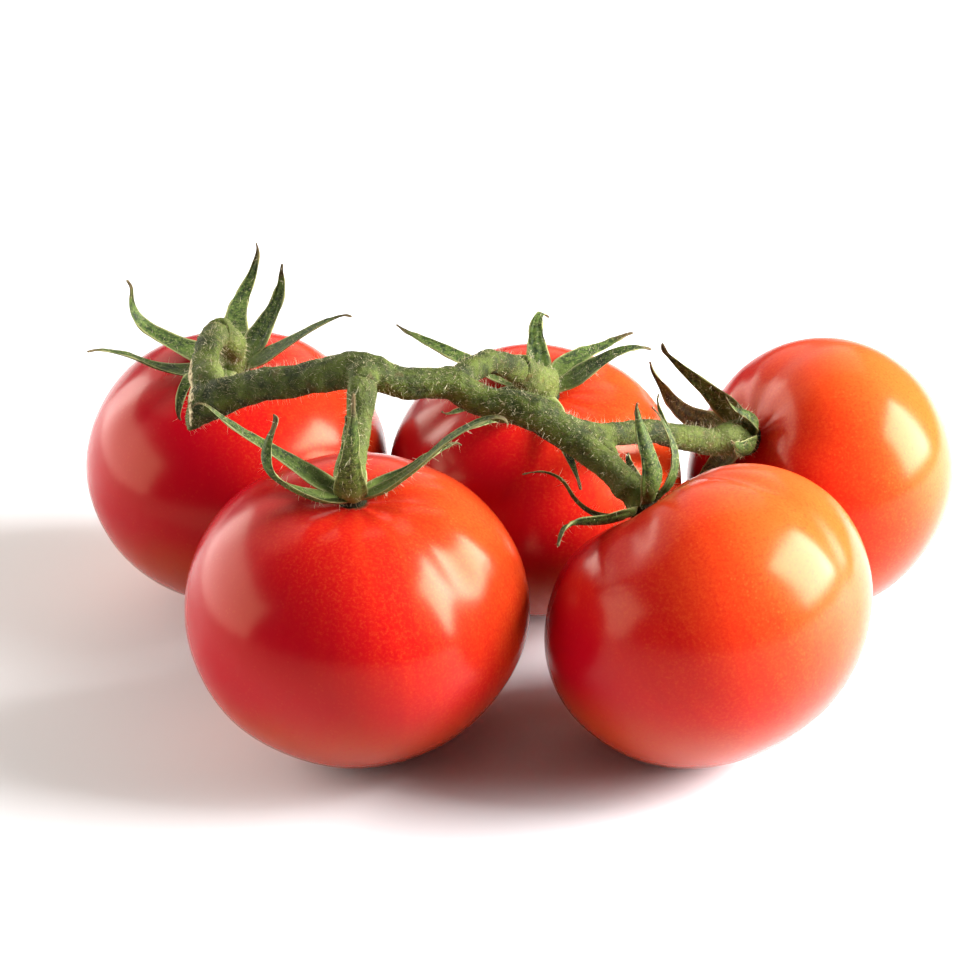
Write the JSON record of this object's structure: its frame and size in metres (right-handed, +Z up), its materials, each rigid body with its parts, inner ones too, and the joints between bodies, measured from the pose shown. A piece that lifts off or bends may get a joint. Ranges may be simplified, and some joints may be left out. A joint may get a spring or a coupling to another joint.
{
  "type": "tomato truss",
  "caption": "Ripe red tomatoes still joined by their pedicels and leafy calyxes to one cut green truss stem, lying on a flat surface.",
  "frame": {"origin": "on the floor, under the middle of the whole truss", "axes": "+X along the truss from the cut end to the far tomato, +Y away from the front pair, +Z up"},
  "size_m": [0.1816, 0.1288, 0.0823],
  "materials": {
    "tomato_skin": "smooth glossy ripe tomato skin, red turning orange on the shoulders",
    "stalk": "mottled green stem with fine hairs and a pale dry cut end",
    "pedicel": "paler green, finely hairy",
    "sepal": "dark green hairy blade with paler ribs and brown curled tips"
  },
  "bodies": {
    "root": {"stalk": "stalk", "tomato_front_left": "tomato_skin", "pedicel_front_left": "pedicel", "sepal_front_left_1": "sepal", "sepal_front_left_2": "sepal", "sepal_front_left_3": "sepal", "sepal_front_left_4": "sepal", "sepal_front_left_5": "sepal", "sepal_front_left_6": "sepal", "tomato_front_right": "tomato_skin", "pedicel_front_right": "pedicel", "sepal_front_right_1": "sepal", "sepal_front_right_2": "sepal", "sepal_front_right_3": "sepal", "sepal_front_right_4": "sepal", "sepal_front_right_5": "sepal", "sepal_front_right_6": "sepal", "tomato_back_left": "tomato_skin", "pedicel_back_left": "pedicel", "sepal_back_left_1": "sepal", "sepal_back_left_2": "sepal", "sepal_back_left_3": "sepal", "sepal_back_left_4": "sepal", "sepal_back_left_5": "sepal", "sepal_back_left_6": "sepal", "tomato_back_middle": "tomato_skin", "pedicel_back_middle": "pedicel", "sepal_back_middle_1": "sepal", "sepal_back_middle_2": "sepal", "sepal_back_middle_3": "sepal", "sepal_back_middle_4": "sepal", "sepal_back_middle_5": "sepal", "sepal_back_middle_6": "sepal", "sepal_back_middle_7": "sepal", "tomato_back_right": "tomato_skin", "pedicel_back_right": "pedicel", "sepal_back_right_1": "sepal", "sepal_back_right_2": "sepal", "sepal_back_right_3": "sepal", "sepal_back_right_4": "sepal", "sepal_back_right_5": "sepal"}
  },
  "joints": []
}
